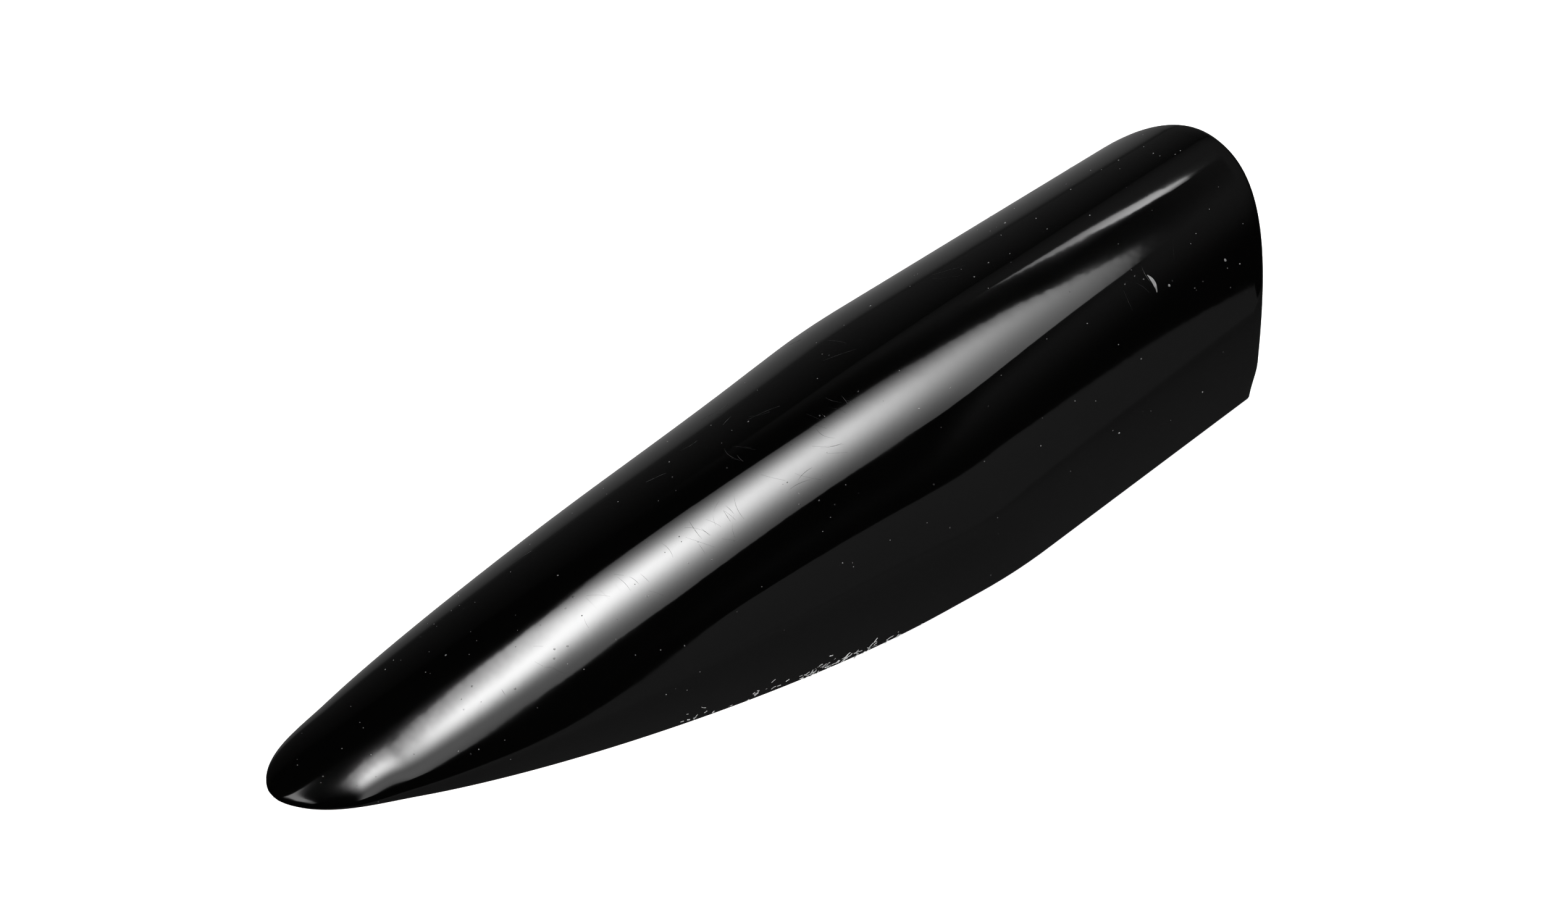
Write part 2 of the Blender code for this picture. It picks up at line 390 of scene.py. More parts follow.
def nail_layer(name, node, outside, inside, setback, material):
    """One layer of the nail between two depths, given as numbers or as functions of the station."""
    along, across = nail_grid(setback)
    sheets = []
    for depth in (outside, inside):
        depth = depth(along, across) if callable(depth) else np.full(along.shape, depth)
        sheets.append(skin_point(along, across, depth))
    verts, faces = close_sheets(*sheets)
    add_piece(name, verts, faces, material, NAIL_BODY, node)


def tab_layer(name, node, first_gap, thickness, margin, pull_tab, material, body):
    """One layer of the adhesive tab, following the glue well, with rounded corners."""
    start = TAB_START - margin
    root = TAB_END + margin
    end = root + pull_tab
    span = TAB_HALF_SPAN + margin / KINK_HALF_WIDTH
    a, b = np.meshgrid(np.sin(np.linspace(-0.5, 0.5, TAB_STEPS + 1) * math.pi),
                       np.linspace(-1.0, 1.0, TAB_STEPS + 1), indexing="ij")
    rounded_a = a * np.sqrt(1.0 - TAB_CORNER * b * b / 2)
    rounded_b = b * np.sqrt(1.0 - TAB_CORNER * a * a / 2)
    x = start + (end - start) * (rounded_a + 1.0) / 2
    pulled = smooth(root, root + PULL_TAB_NECK, x)
    half_span = span + (PULL_TAB_HALF_SPAN - span) * pulled
    sag = PULL_TAB_SAG * smooth(root, root + PULL_TAB_LENGTH, x)
    along = x / LENGTH
    across = rounded_b * half_span
    depth = COATS + WELL_WALL + (FREE_EDGE_WALL - WELL_WALL) * pulled + first_gap + sag
    sheets = [skin_point(along, across, depth), skin_point(along, across, depth + thickness)]
    verts, faces = close_sheets(*sheets)
    add_piece(name, verts, faces, material, body, node, bevel=thickness * SHEET_BEVEL)


# ---------------------------------------------------------------- materials

class Paint:
    """A node material under construction, placed by the object's own coordinates."""

    def __init__(self, name):
        self.material = bpy.data.materials.new(name)
        self.material.use_nodes = True
        self.tree = self.material.node_tree
        self.shader = self.tree.nodes["Principled BSDF"]
        self.place = self.tree.nodes.new("ShaderNodeTexCoord").outputs["Object"]

    def node(self, kind, **inputs):
        """Add a node with values or links for its inputs."""
        made = self.tree.nodes.new(kind)
        for key, value in inputs.items():
            self.feed(made.inputs[key.replace("_", " ")], value)
        return made

    def feed(self, socket, value):
        """Link an output into a socket, or set a constant on it."""
        if isinstance(value, bpy.types.NodeSocket):
            self.tree.links.new(value, socket)
        else:
            socket.default_value = value

    def stretch(self, x, y, z, turn=(0.0, 0.0, 0.0)):
        """Coordinates in millimetres, divided by a feature size along each axis."""
        made = self.node("ShaderNodeMapping", Vector=self.place)
        made.inputs["Rotation"].default_value = turn
        made.inputs["Scale"].default_value = (1.0 / (x * MM), 1.0 / (y * MM), 1.0 / (z * MM))
        return made.outputs["Vector"]

    def noise(self, vector, detail=3.0):
        """Cloudy noise whose features are the size that the coordinates were divided by."""
        made = self.node("ShaderNodeTexNoise", Vector=vector, Scale=1.0, Detail=detail, Roughness=NOISE_ROUGHNESS)
        return made.outputs["Fac"]

    def cells(self, vector, feature="F1"):
        """Irregular cells, one to each feature size."""
        made = self.node("ShaderNodeTexVoronoi", Vector=vector, Scale=1.0)
        made.feature = feature
        return made

    def spread(self, value, low, high, to_low=0.0, to_high=1.0):
        """Smooth step from to_low where the value is low, to to_high where it is high."""
        made = self.tree.nodes.new("ShaderNodeMapRange")
        made.interpolation_type = "SMOOTHSTEP"
        for key, number in (("From Min", low), ("From Max", high), ("To Min", to_low), ("To Max", to_high)):
            made.inputs[key].default_value = number
        self.feed(made.inputs["Value"], value)
        return made.outputs["Result"]

    def math(self, operation, a, b=0.0, c=0.0):
        made = self.tree.nodes.new("ShaderNodeMath")
        made.operation = operation
        for socket, value in zip(made.inputs, (a, b, c)):
            self.feed(socket, value)
        return made.outputs["Value"]

    def mix(self, factor, a, b):
        made = self.tree.nodes.new("ShaderNodeMix")
        made.data_type = "RGBA"
        self.feed(made.inputs[0], factor)
        self.feed(made.inputs[6], a)
        self.feed(made.inputs[7], b)
        return made.outputs[2]

    def bump(self, height, distance, strength=1.0, before=None):
        made = self.node("ShaderNodeBump", Height=height, Distance=distance * MM, Strength=strength)
        if before is not None:
            self.tree.links.new(before, made.inputs["Normal"])
        return made.outputs["Normal"]

    def set(self, **inputs):
        for key, value in inputs.items():
            self.feed(self.shader.inputs[key.replace("_", " ")], value)
        return self.material


def grey(level, tint=0.0):
    """A neutral colour, with a positive tint toward blue or a negative one toward cream."""
    return (level * (1.0 - tint), level, level * (1.0 + tint), 1.0)


def gloss_material():
    """Cured clear gel over black: deep gloss, a faint ripple, handling scratches and fine dust."""
    p = Paint("gloss_gel")
    ripple = p.noise(p.stretch(9.0, 2.6, 2.6), detail=1.0)
    dimple = p.noise(p.stretch(1.1, 0.7, 0.7), detail=2.0)
    handled = p.noise(p.stretch(7.0, 4.0, 4.0), detail=3.0)
    scratch_a = p.cells(p.stretch(0.45, 5.5, 5.5, (0.0, 0.0, 0.5)), feature="DISTANCE_TO_EDGE")
    scratch_b = p.cells(p.stretch(6.0, 0.6, 0.6, (0.0, 0.0, -0.35)), feature="DISTANCE_TO_EDGE")
    lines = p.math("MAXIMUM", p.spread(scratch_a.outputs["Distance"], 0.0, 0.012, 1.0, 0.0),
                   p.spread(scratch_b.outputs["Distance"], 0.0, 0.010, 1.0, 0.0))
    lines = p.math("MULTIPLY", lines, p.spread(handled, 0.62, 0.78, 0.0, 1.0))
    dust = p.cells(p.stretch(0.55, 0.55, 0.55))
    specks = p.spread(dust.outputs["Distance"], 0.035, 0.060, 1.0, 0.0)
    specks = p.math("MULTIPLY", specks, p.spread(p.noise(p.stretch(2.2, 2.2, 2.2)), 0.50, 0.60, 0.0, 1.0))
    colour = p.mix(p.math("MULTIPLY", lines, 0.25), grey(0.0010), grey(0.020))
    colour = p.mix(specks, colour, grey(0.03))
    rough = p.math("ADD", p.spread(handled, 0.3, 0.8, 0.035, 0.075), p.math("MULTIPLY", lines, 0.08))
    rough = p.math("ADD", rough, p.math("MULTIPLY", specks, 0.10))
    normal = p.bump(ripple, 0.020, 1.0)
    normal = p.bump(dimple, 0.0010, 1.0, normal)
    normal = p.bump(lines, 0.0010, 0.4, normal)
    normal = p.bump(specks, 0.003, 0.5, normal)
    return p.set(Base_Color=colour, Roughness=rough, IOR=GEL_IOR, Normal=normal)


def colour_gel_material():
    """Black cured gel, seen only at the cut rims."""
    p = Paint("black_gel")
    wear = p.noise(p.stretch(0.5, 0.5, 0.2), detail=4.0)
    return p.set(Base_Color=p.mix(wear, grey(0.003), grey(0.012)),
                 Roughness=p.spread(wear, 0.3, 0.7, 0.18, 0.40), Normal=p.bump(wear, 0.004), IOR=GEL_IOR)


def base_gel_material():
    """Clear base gel over the pale shell, seen only at the cut rims."""
    p = Paint("base_gel")
    wear = p.noise(p.stretch(0.4, 0.4, 0.2), detail=4.0)
    return p.set(Base_Color=p.mix(wear, grey(0.34, -0.05), grey(0.52, -0.05)),
                 Roughness=p.spread(wear, 0.3, 0.7, 0.20, 0.42), Normal=p.bump(wear, 0.004), IOR=GEL_IOR)


def shell_material():
    """Natural ABS: satin moulded texture inside, flow streaks, filed white toward the rims."""
    p = Paint("moulded_abs")
    flow = p.noise(p.stretch(11.0, 1.2, 1.2), detail=4.0)
    satin = p.noise(p.stretch(0.09, 0.09, 0.09), detail=2.0)
    filing = p.cells(p.stretch(0.05, 1.6, 0.6, (0.0, 0.0, 0.4)), feature="DISTANCE_TO_EDGE")
    filed = p.spread(filing.outputs["Distance"], 0.0, 0.10, 1.0, 0.0)
    height = p.node("ShaderNodeSeparateXYZ", Vector=p.place).outputs["Z"]
    near_rim = p.spread(height, 0.2 * MM, 0.9 * MM, 1.0, 0.0)
    filed = p.math("MULTIPLY", filed, near_rim)
    smudge = p.noise(p.stretch(3.5, 2.5, 2.5), detail=5.0)
    colour = p.mix(p.spread(flow, 0.35, 0.7), (0.66, 0.63, 0.575, 1.0), (0.76, 0.735, 0.69, 1.0))
    colour = p.mix(p.spread(smudge, 0.50, 0.75, 0.0, 0.45), colour, (0.56, 0.53, 0.47, 1.0))
    colour = p.mix(p.math("MULTIPLY", filed, 0.5), colour, grey(0.86))
    rough = p.spread(smudge, 0.35, 0.7, 0.34, 0.50)
    rough = p.math("ADD", rough, p.math("MULTIPLY", filed, 0.2))
    normal = p.bump(satin, 0.0035, 0.8)
    normal = p.bump(flow, 0.010, 0.5, normal)
    normal = p.bump(filed, 0.006, 0.8, normal)
    return p.set(Base_Color=colour, Roughness=rough, IOR=1.46, Subsurface_Weight=0.08,
                 Subsurface_Scale=0.4 * MM, Normal=normal)


def adhesive_material():
    """Soft clear acrylic adhesive with a few trapped bubbles."""
    p = Paint("acrylic_adhesive")
    bubble = p.cells(p.stretch(0.7, 0.7, 0.7))
    ring = p.spread(bubble.outputs["Distance"], 0.10, 0.16, 1.0, 0.0)
    cloud = p.noise(p.stretch(1.5, 1.5, 1.5), detail=4.0)
    colour = p.mix(p.spread(cloud, 0.3, 0.7), grey(0.70, 0.02), grey(0.80, 0.01))
    colour = p.mix(p.math("MULTIPLY", ring, 0.4), colour, grey(0.92))
    return p.set(Base_Color=colour, Roughness=p.spread(cloud, 0.3, 0.7, 0.22, 0.34), IOR=1.47,
                 Transmission_Weight=0.35, Normal=p.bump(cloud, 0.010, 0.7))


def film_material():
    """Clear polyester carrier film."""
    p = Paint("carrier_film")
    drawn = p.noise(p.stretch(4.0, 0.3, 0.3), detail=3.0)
    return p.set(Base_Color=p.mix(drawn, grey(0.78, 0.02), grey(0.88, 0.02)), IOR=1.5,
                 Roughness=p.spread(drawn, 0.3, 0.7, 0.12, 0.22), Normal=p.bump(drawn, 0.003, 0.6))


def liner_material():
    """Milky pale blue release film with faint draw lines, finger marks and dust."""
    p = Paint("release_film")
    drawn = p.noise(p.stretch(7.0, 0.25, 0.25), detail=3.0)
    mark = p.noise(p.stretch(3.2, 2.2, 2.2), detail=2.0)
    dust = p.spread(p.cells(p.stretch(0.5, 0.5, 0.5)).outputs["Distance"], 0.03, 0.07, 1.0, 0.0)
    colour = p.mix(p.spread(mark, 0.35, 0.7), (0.50, 0.66, 0.77, 1.0), (0.55, 0.70, 0.80, 1.0))
    colour = p.mix(p.math("MULTIPLY", dust, 0.5), colour, grey(0.85))
    rough = p.spread(mark, 0.3, 0.75, 0.22, 0.40)
    normal = p.bump(drawn, 0.004, 0.7)
    normal = p.bump(mark, 0.012, 0.5, normal)
    return p.set(Base_Color=colour, Roughness=rough, IOR=1.45, Transmission_Weight=0.12, Normal=normal)


def debris_material(name, low, high, roughness):
    """Pale dust, lint or swarf."""
    p = Paint(name)
    tone = p.noise(p.stretch(0.25, 0.25, 0.25), detail=3.0)
    fine = p.noise(p.stretch(0.03, 0.03, 0.03), detail=3.0)
    return p.set(Base_Color=p.mix(p.spread(tone, 0.35, 0.65), grey(low), grey(high)),
                 Roughness=p.spread(fine, 0.3, 0.7, roughness, roughness + 0.2), Normal=p.bump(fine, 0.004))


# ---------------------------------------------------------------- specks, hair marks and swarf

def surface_frame(x, across, lift=0.0):
    """Point on the outer skin (mm) and its lengthwise, crosswise and outward unit directions."""
    base = float(base_edge(across))
    along = np.array((x - base) / (LENGTH - base))
    v = np.array(across)
    point = skin_point(along, v, np.array(-lift))
    out = outer_normal(along, v)
    lengthwise = unit(outer_point(along + PROBE, v) - outer_point(along - PROBE, v))
    return point, lengthwise, np.cross(out, lengthwise), out


def blob(verts, faces, centre, a, b, c, size, rng, rings=4, sides=7):
    """Add an uneven pebble with three half-axes given as size times unit directions."""
    first = len(verts)
    scale = [s * rng.uniform(0.8, 1.2) for s in size]
    verts.append(tuple((centre + c * scale[2]) * MM))
    for i in range(1, rings):
        tilt = math.pi * i / rings
        for j in range(sides):
            turn = 2 * math.pi * j / sides
            r = rng.uniform(0.85, 1.15)
            offset = a * (scale[0] * math.sin(tilt) * math.cos(turn) * r)
            offset = offset + b * (scale[1] * math.sin(tilt) * math.sin(turn) * r)
            offset = offset + c * (scale[2] * math.cos(tilt))
            verts.append(tuple((centre + offset) * MM))
    verts.append(tuple((centre - c * scale[2]) * MM))
    last = len(verts) - 1
    for j in range(sides):
        k = (j + 1) % sides
        faces.append((first, first + 1 + j, first + 1 + k))
        for i in range(rings - 2):
            p, q = first + 1 + i * sides, first + 1 + (i + 1) * sides
            faces.append((p + j, q + j, q + k, p + k))
        q = first + 1 + (rings - 2) * sides
        faces.append((last, q + k, q + j))


def inside_box(point, margin):
    """Whether a point (mm) keeps a margin to the CAD model's box."""
    low, high = cad_box
    return all(low[i] / MM + margin < point[i] < high[i] / MM - margin for i in range(3))


NIB_COUNT = 210
NIB_SIZE = 0.015
NIB_SIZE_SPREAD = 0.015
NIB_CROWDING = 1.3
NIB_SINK = 0.2
BIG_NIB_CHANCE = 0.05
SKIN_MARGIN = 0.985
MARK_START = 0.8
MARK_END = 0.5


def dust_nibs(material, rng):
    """Dust trapped in the gel: small pale nibs on the outer skin, more toward the base end."""
    verts, faces = [], []
    made = 0
    while made < NIB_COUNT:
        x = 1.0 + (LENGTH - 2.0) * rng.random() ** NIB_CROWDING
        across = rng.uniform(-SKIN_MARGIN, SKIN_MARGIN)
        size = NIB_SIZE + NIB_SIZE_SPREAD * rng.random() ** 3
        if rng.random() < BIG_NIB_CHANCE:
            size *= 1.5
        point, lengthwise, crosswise, out = surface_frame(x, across, -NIB_SINK * size)
        if not inside_box(point + out * size, 0.0):
            continue
        pebble = (size * rng.uniform(0.8, 1.5), size, size * 0.7)
        blob(verts, faces, point, lengthwise, crosswise, out, pebble, rng)
        made += 1
    add_piece("dust_nibs", verts, faces, material, NAIL_BODY, sharp=SMOOTH_DEBRIS_UNDER)


def thread(verts, faces, points, widths, height):
    """Add a closed flat ribbon along (point, side, out) stations, tapering by its widths."""
    first = len(verts)
    for (point, side, out), width in zip(points, widths):
        for s, t in ((-1.0, -0.5), (0.0, 0.5), (1.0, -0.5)):
            verts.append(tuple((point + side * (s * width / 2) + out * (t * height)) * MM))
    for i in range(len(points) - 1):
        p, q = first + 3 * i, first + 3 * (i + 1)
        for j in range(3):
            k = (j + 1) % 3
            faces.append((p + j, q + j, q + k, p + k))
    end = first + 3 * (len(points) - 1)
    faces.append((first, first + 1, first + 2))
    faces.append((end + 2, end + 1, end))


def skin_curve(x, across, heading, length, bend, width, count=12):
    """Stations and widths of a curved mark lying on the skin, from a start point and heading."""
    points, widths = [], []
    step = length / (count - 1)
    for i in range(count):
        if not (MARK_START < x < LENGTH - MARK_END) or abs(across) > SKIN_MARGIN:
            break
        point, lengthwise, crosswise, out = surface_frame(x, across)
        forward = lengthwise * math.cos(heading) + crosswise * math.sin(heading)
        points.append((point, np.cross(out, forward), out))
        widths.append(width * (0.25 + math.sin(math.pi * (i + 0.5) / count)))
        x += step * math.cos(heading)
        across += step * math.sin(heading) / max(float(half_width(np.array(x))) * 1.25, 0.6)
        heading += bend * step
    return points, widths


# Fields of handling marks: x, across, spread in x, spread across, count, heading, length, width
MARK_FIELDS = (
    (21.6, -0.31, 1.0, 0.10, 12, 1.35, 0.85, 0.014),
    (24.5, -0.30, 2.2, 0.14, 8, 1.25, 0.60, 0.012),
    (17.5, -0.28, 2.5, 0.20, 8, 0.35, 0.90, 0.011),
    (16.0, -0.08, 1.2, 0.06, 7, 1.25, 0.70, 0.013),
    (19.5, 0.05, 0.8, 0.05, 5, 1.20, 0.80, 0.015),
    (4.9, -0.48, 1.0, 0.10, 4, 1.40, 1.00, 0.012),
    (28.0, -0.40, 2.5, 0.25, 6, 1.10, 0.45, 0.012),
    (16.0, 0.45, 9.0, 0.30, 14, 0.60, 0.90, 0.012),
)
MARK_HEIGHT = 0.006


def hair_marks(material, rng):
    """Fine hairs and handling marks lying on the gloss."""
    verts, faces = [], []
    for x, across, spread_x, spread_v, count, heading, length, width in MARK_FIELDS:
        for _ in range(count):
            points, widths = skin_curve(
                rng.gauss(x, spread_x / 2), rng.gauss(across, spread_v / 2), rng.gauss(heading, 0.35),
                length * rng.uniform(0.4, 1.3), rng.gauss(0.0, 0.7), width * rng.uniform(0.6, 1.3))
            if len(points) > 3 and all(inside_box(p[0], 0.01) for p in points):
                thread(verts, faces, points, widths, MARK_HEIGHT)
    add_piece("hair_marks", verts, faces, material, NAIL_BODY, sharp=SMOOTH_DEBRIS_UNDER)


# Strokes of the smear: x, across, heading, length, bend, width, stations, height
SMEAR_CURVES = (
    (5.0, -0.42, -1.9, 0.62, 1.3, 0.17, 16, 0.02),
    (4.95, -0.44, -1.2, 0.35, -2.0, 0.05, 10, 0.016),
)
# Crumbs beside it: x, across, size
CRUMBS = ((2.4, -0.57, 0.05), (4.55, -0.52, 0.045), (2.0, -0.62, 0.02))


def lint_smear(material, rng):
    """A hooked smear of lint near the base end and bright crumbs beside it."""
    verts, faces = [], []
    for *curve, height in SMEAR_CURVES:
        points, widths = skin_curve(*curve)
        thread(verts, faces, points, widths, height)
    for x, across, size in CRUMBS:
        point, lengthwise, crosswise, out = surface_frame(x, across)
        blob(verts, faces, point, lengthwise, crosswise, out, (size, size, size * 0.6), rng, 6, 10)
    add_piece("lint_smear", verts, faces, material, NAIL_BODY, sharp=SMOOTH_DEBRIS_UNDER)


# Burrs: the two rims with their counts, where they crowd, how far they reach, and their shape
BURR_RIMS = ((-1.0, 85), (1.0, 40))
BURR_CROWD_SHARE = 0.62
BURR_CROWD = (19.7, 1.0)
BURR_REACH = (16.0, 25.6)
BURR_EDGE = 0.997
BURR_EDGE_SPREAD = 0.006
BURR_LENGTH = (0.07, 0.24)
BURR_CURL = 9.0
BURR_WIDTH = 0.026
BURR_HEIGHT = 0.014
BURR_LIFT = 0.006
BURR_STATIONS = 6


def rim_burrs(material, rng):
    """Pale curled swarf left by the file along the rims past the kink, thickest on one stretch."""
    verts, faces = [], []
    for side, count in BURR_RIMS:
        for _ in range(count):
            crowded = rng.random() < BURR_CROWD_SHARE
            x = rng.gauss(*BURR_CROWD) if crowded else rng.uniform(*BURR_REACH)
            across = side * (BURR_EDGE - abs(rng.gauss(0.0, BURR_EDGE_SPREAD)))
            point, lengthwise, crosswise, out = surface_frame(x, across)
            heading = rng.uniform(-1.0, 1.0)
            curl = rng.uniform(-BURR_CURL, BURR_CURL)
            step = rng.uniform(*BURR_LENGTH) / (BURR_STATIONS - 1)
            down = Vector((0.0, 0.0, -1.0))
            forward = np.array(Vector(lengthwise) * math.cos(heading) + down * rng.uniform(-0.3, 0.6))
            forward = unit(forward + out * rng.uniform(-0.1, 0.35))
            stations = []
            position = point + out * BURR_LIFT
            for _ in range(BURR_STATIONS):
                stations.append((position, unit(np.cross(out, forward)), out))
                position = position + forward * step
                forward = unit(forward + unit(np.cross(out, forward)) * (curl * step) * 0.4)
            if all(inside_box(s[0], 0.02) for s in stations):
                widths = [BURR_WIDTH * rng.uniform(0.5, 1.4)] * BURR_STATIONS
                thread(verts, faces, stations, widths, BURR_HEIGHT)
    add_piece("rim_burrs", verts, faces, material, NAIL_BODY, sharp=SMOOTH_DEBRIS_UNDER)


# ---------------------------------------------------------------- the object

def build_nail():
    """All the visible pieces, from the outside in."""
    depth = 0.0
    for name, node, slot, thickness, setback, material in (
        ("gloss_gel", "top_coat", "clear_top_gel", TOP_COAT, 0.0, gloss_material()),
        ("black_gel", "colour_coat", "black_gel", COLOUR_COAT, 0.012, colour_gel_material()),
        ("base_gel", "base_coat", "clear_base_gel", BASE_COAT, 0.022, base_gel_material()),
    ):
        nail_layer(name, node, depth, depth + thickness, setback, material)
        depth += thickness + COAT_GAP
    nail_layer("moulded_shell", "nail_shell", COATS, shell_inside, 0.0, shell_material())

    glue = adhesive_material()
    gap = TAB_GAP
    for name, node, slot, thickness, material in (
        ("upper_adhesive", "shell_side_adhesive", "acrylic_adhesive", ADHESIVE, glue),
        ("tab_film", "carrier_film", "carrier_film", CARRIER, film_material()),
        ("lower_adhesive", "finger_side_adhesive", "acrylic_adhesive", ADHESIVE, glue),
    ):
        tab_layer(name, node, gap, thickness, 0.0, 0.0, material, NAIL_BODY)
        gap += thickness + LAYER_GAP
    tab_layer("peel_liner", "release_liner", gap, LINER, LINER_MARGIN, PULL_TAB_LENGTH,
              liner_material(), LINER_BODY)

    rng = random.Random(7)
    dust_nibs(debris_material("dust", 0.10, 0.34, 0.5), rng)
    hair_marks(debris_material("hair", 0.03, 0.09, 0.4), rng)
    lint_smear(debris_material("lint", 0.16, 0.30, 0.45), rng)
    rim_burrs(debris_material("swarf", 0.45, 0.75, 0.5), rng)


# ---------------------------------------------------------------- camera, floor and light

VIEW_AZIMUTH = -40.953
VIEW_ELEVATION = 50.718
VIEW_DISTANCE = 388.4
AIM_RIGHT = 0.854
AIM_UP = 3.49
LENS = 292.4


def add_camera():
    """Camera at the viewing angle, aimed a little above and beside the nail's middle."""
    az, el = math.radians(VIEW_AZIMUTH), math.radians(VIEW_ELEVATION)
    toward = Vector((math.sin(az) * math.cos(el), -math.cos(az) * math.cos(el), math.sin(el)))
    right = Vector((math.cos(az), math.sin(az), 0.0))
    up = toward.cross(right)
    data = bpy.data.cameras.new("camera")
    data.lens = LENS
    data.sensor_width = 36.0
    data.clip_start = 0.01
    data.clip_end = 20.0
    camera = bpy.data.objects.new("camera", data)
    bpy.context.scene.collection.objects.link(camera)
    place = toward * VIEW_DISTANCE * MM
    aim = (right * AIM_RIGHT + up * AIM_UP) * MM
    back = (place - aim).normalized()
    side = Vector((0.0, 0.0, 1.0)).cross(back).normalized()
    turned = Matrix((side, back.cross(side), back)).transposed().to_4x4()
    camera.matrix_world = Matrix.Translation(place) @ turned
    bpy.context.scene.camera = camera


def stage_mesh(name, points, faces, material):
    """A stage object that isn't part of the nail, its points in millimetres."""
    mesh = bpy.data.meshes.new(name)
    mesh.from_pydata([tuple(c * MM for c in p) for p in points], [], faces)
    mesh.materials.append(material)
    made = bpy.data.objects.new(name, mesh)
    bpy.context.scene.collection.objects.link(made)
    return made


class Lamp(Paint):
    """An emissive material whose brightness is built from x, y and z in millimetres."""

    def __init__(self, name):
        super().__init__(name)
        self.tree.nodes.remove(self.shader)
        self.shader = self.tree.nodes.new("ShaderNodeEmission")
        surface = self.tree.nodes["Material Output"].inputs["Surface"]
        self.tree.links.new(self.shader.outputs["Emission"], surface)
        apart = self.node("ShaderNodeSeparateXYZ", Vector=self.place)
        self.x, self.y, self.z = (self.math("MULTIPLY", apart.outputs[axis], 1.0 / MM) for axis in "XYZ")

    def falling(self, value, peak, fade, power):
        """Exponent that grows from 0 at the peak over a fading length, on the side the fade points to."""
        away = self.math("MAXIMUM", self.math("DIVIDE", self.math("SUBTRACT", value, peak), fade), 0.0)
        return self.math("POWER", away, power)

    def fading(self, strength, *exponents):
        """A strength times exp(-sum of the exponents)."""
        total = 0.0
        for exponent in exponents:
            total = self.math("ADD", total, exponent)
        return self.math("MULTIPLY", self.math("EXPONENT", self.math("MULTIPLY", total, -1.0)), strength)


LIGHT_HEIGHT = 350.0
# Corners of the long softbox overhead, narrow at its +Y end
SOFTBOX = ((20.0, -620.0), (48.0, -262.0), (72.0, -110.0), (86.0, -20.0), (97.0, 40.0), (104.0, 82.0),
           (111.0, 110.0), (119.0, 134.0), (136.0, 174.0), (147.0, 182.0), (156.0, 170.0), (167.0, 148.0),
           (174.0, 89.0), (180.0, 33.0), (188.0, -30.0), (198.0, -74.0), (213.0, -150.0), (196.0, -158.0),
           (161.0, -163.0), (153.0, -182.0), (135.0, -225.0), (134.0, -300.0), (140.0, -420.0), (138.0, -620.0))
SOFTBOX_PEAK = 29.0
# The narrow strip beside it
STRIP = ((208.0, 90.0), (203.5, 125.0), (204.0, 160.0), (208.5, 215.0), (213.0, 262.0), (216.0, 225.0),
         (214.5, 160.0), (212.0, 118.0))
STRIP_PEAK = 10.0
# A small lamp that catches the nose
NOSE_LAMP = ((20.0, -95.0), (32.0, -95.0), (69.0, 50.0), (96.0, 140.0), (86.0, 140.0), (54.0, 50.0))


def overhead(name, corners, material):
    """A flat lamp face overhead, out of the picture; it still lights and still shows in the gloss."""
    points = [(x, y, LIGHT_HEIGHT) for x, y in corners]
    lamp = stage_mesh(name, points, [tuple(range(len(corners)))], material)
    lamp.visible_camera = False


def glossy_only(name, points, faces, material):
    """A card seen only in the gloss."""
    card = stage_mesh(name, points, faces, material)
    card.visible_camera = False
    card.visible_diffuse = False
    card.visible_shadow = False
    card.visible_transmission = False


def level_sheet(x_span, y_span, z):
    """Corner points of a level rectangle, and its one face."""
    (x_low, x_high), (y_low, y_high) = x_span, y_span
    return [(x_low, y_low, z), (x_high, y_low, z), (x_high, y_high, z), (x_low, y_high, z)], [(0, 1, 2, 3)]


def add_lights():
    """The overhead softbox, the strip and the small lamp that catches the nose."""
    p = Lamp("softbox_glow")
    # The brightest line across the softbox, which bends away at both ends
    toward_base = p.math("POWER", p.math("MAXIMUM", p.math("SUBTRACT", p.x, 150.0), 0.0), 2.0)
    toward_tip = p.math("MAXIMUM", p.math("SUBTRACT", 116.0, p.x), 0.0)
    ridge = p.math("MULTIPLY_ADD", toward_base, -0.055, 34.0)
    ridge = p.math("MULTIPLY_ADD", toward_tip, -5.3, ridge)
    y = p.math("SUBTRACT", p.y, ridge)
    glow = p.fading(SOFTBOX_PEAK, p.falling(p.x, 115.0, 47.0, 1.4), p.falling(p.x, 108.0, -15.4, 3.8),
                    p.falling(y, 0.0, 82.0, 1.7), p.spread(y, -250.0, 0.0, 2.5, 0.0))
    overhead("softbox", SOFTBOX, p.set(Strength=glow))
    p = Lamp("strip_glow")
    glow = p.fading(STRIP_PEAK, p.falling(p.y, 130.0, 95.0, 1.3), p.falling(p.y, 125.0, -28.0, 2.0))
    overhead("strip", STRIP, p.set(Strength=glow))
    p = Lamp("nose_glow")
    overhead("nose_lamp", NOSE_LAMP, p.set(Strength=p.spread(p.y, -95.0, 40.0, 1.2, 5.0)))


CARD_AT = -100.0
CARD_START = 6.0
CARD_LENGTH = 80.0
CARD_HEIGHT = 50.0
CARD_FOOT = 0.3
CARD_STEPS = 28
MIRROR_DROP = -0.5
HAZE_HEIGHT = 353.0
HAZE_PEAK = 0.17
WALL_AT = 400.0
WALL_HEIGHT = 600.0
WALL_SPAN = (-600.0, 1200.0)
HAZE_X = (-200.0, 1100.0)
HAZE_Y = (-900.0, 900.0)
FLOOR_SPAN = (-3000.0, 3000.0)
AMBIENT = 0.35


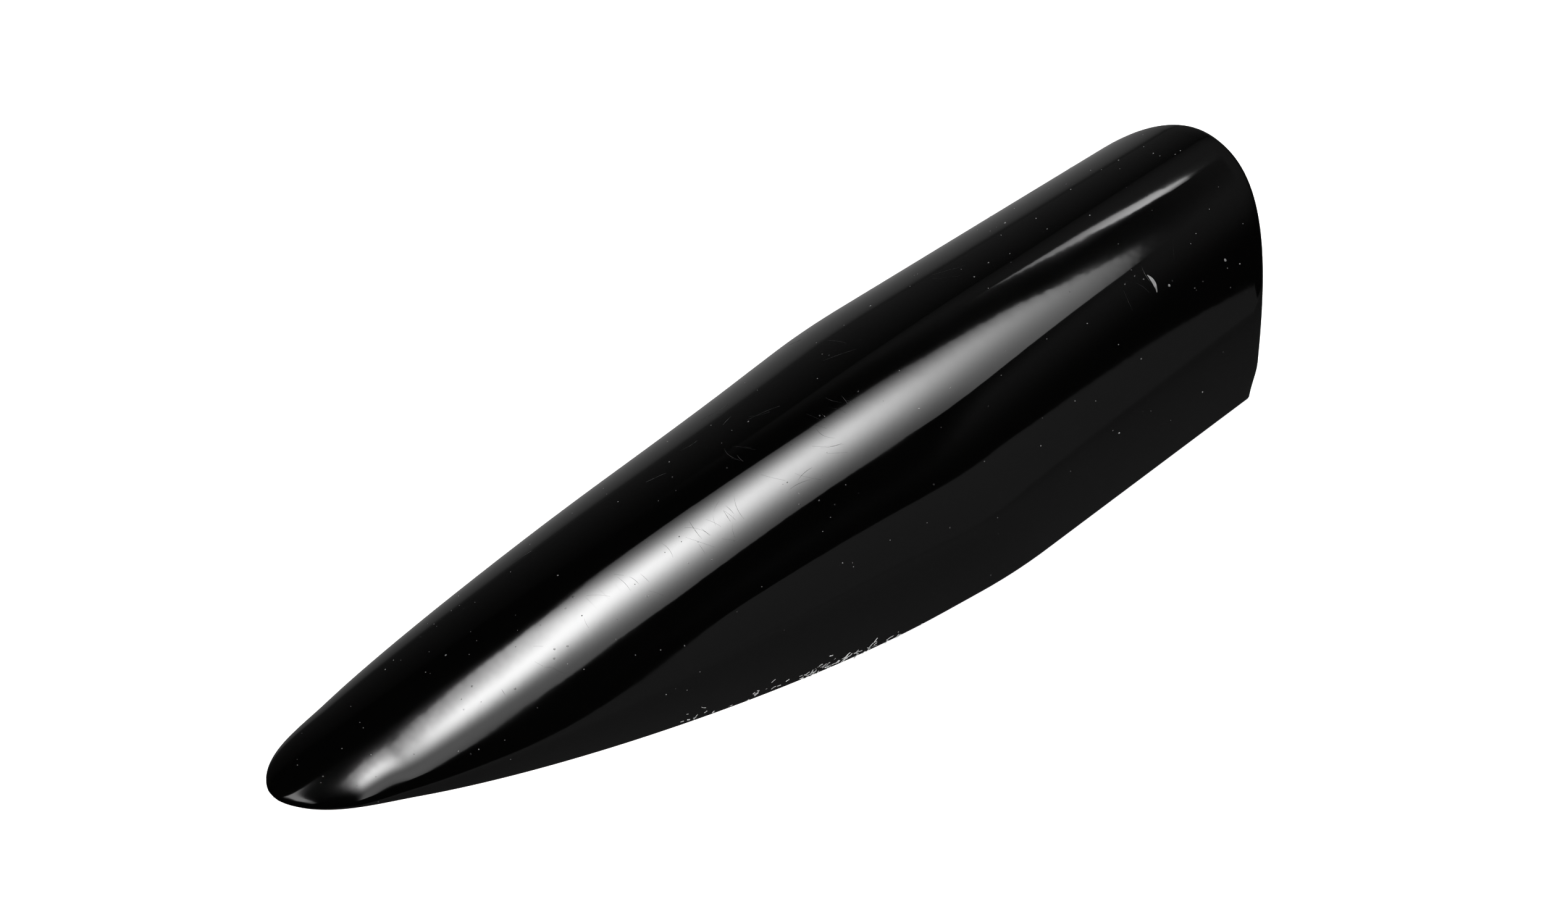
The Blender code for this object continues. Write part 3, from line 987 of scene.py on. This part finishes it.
def add_reflection_cards():
    """What else the gloss shows: a low pale card, the table top, a haze over the lamps and a far wall."""
    p = Lamp("card_glow")
    top, bottom = [], []
    for i in range(CARD_STEPS + 1):
        x = CARD_START + CARD_LENGTH * i / CARD_STEPS
        height = CARD_HEIGHT * smooth(8.0, 40.0, x) * (1.0 - smooth(64.0, 84.0, x))
        top.append((x, CARD_AT, float(height) + CARD_FOOT))
        bottom.append((x, CARD_AT, 0.0))
    faces = [(i, i + 1, CARD_STEPS + 2 + i, CARD_STEPS + 1 + i) for i in range(CARD_STEPS)]
    glow = p.spread(p.z, 0.0, CARD_HEIGHT, 0.20, 0.235)
    glossy_only("low_card", bottom + top, faces, p.set(Strength=glow))

    p = Lamp("table_glow")
    near = p.math("MULTIPLY", p.spread(p.y, -80.0, -5.0, 0.205, 0.155), p.spread(p.x, 12.0, 45.0, 1.0, 0.65))
    far = p.spread(p.y, 3.0, 90.0, 0.23, 0.075)
    side = p.math("GREATER_THAN", p.y, 0.0)
    glow = p.math("ADD", p.math("MULTIPLY", far, side), p.math("MULTIPLY", near, p.math("SUBTRACT", 1.0, side)))
    glossy_only("table_reflection", *level_sheet(FLOOR_SPAN, FLOOR_SPAN, MIRROR_DROP), p.set(Strength=glow))

    p = Lamp("haze_glow")
    glow = p.fading(HAZE_PEAK, p.falling(p.x, 230.0, 320.0, 2.0), p.falling(p.x, 230.0, -26.0, 2.0),
                    p.falling(p.y, 200.0, 220.0, 2.0), p.falling(p.y, -120.0, -230.0, 2.0))
    glossy_only("haze", *level_sheet(HAZE_X, HAZE_Y, HAZE_HEIGHT), p.set(Strength=glow))

    p = Lamp("wall_glow")
    glow = p.spread(p.x, 100.0, 450.0, 0.05, 0.20)
    glow = p.math("MULTIPLY", glow, p.spread(p.z, 0.0, 500.0, 1.0, 0.0))
    x_low, x_high = WALL_SPAN
    corners = [(x_low, WALL_AT, 0.0), (x_high, WALL_AT, 0.0), (x_high, WALL_AT, WALL_HEIGHT),
               (x_low, WALL_AT, WALL_HEIGHT)]
    glossy_only("far_wall", corners, [(0, 1, 2, 3)], p.set(Strength=glow))


def add_stage():
    """Pale backlit floor, lamps, reflection cards and soft ambient light."""
    p = Paint("pale_floor")
    grain = p.noise(p.stretch(1.4, 1.4, 1.4), detail=4.0)
    floor_paint = p.set(Base_Color=p.mix(grain, grey(0.79), grey(0.81)), Roughness=0.9,
                        Emission_Color=grey(1.0), Emission_Strength=1.0)
    floor = stage_mesh("floor", *level_sheet(FLOOR_SPAN, FLOOR_SPAN, 0.0), floor_paint)
    floor.visible_glossy = False
    add_lights()
    add_reflection_cards()

    world = bpy.data.worlds.new("soft_ambient")
    world.use_nodes = True
    world.node_tree.nodes["Background"].inputs["Color"].default_value = (1.0, 1.0, 1.0, 1.0)
    world.node_tree.nodes["Background"].inputs["Strength"].default_value = AMBIENT
    world.cycles_visibility.glossy = False
    bpy.context.scene.world = world
    bpy.context.scene.view_settings.view_transform = "Standard"


build_nail()
add_camera()
add_stage()
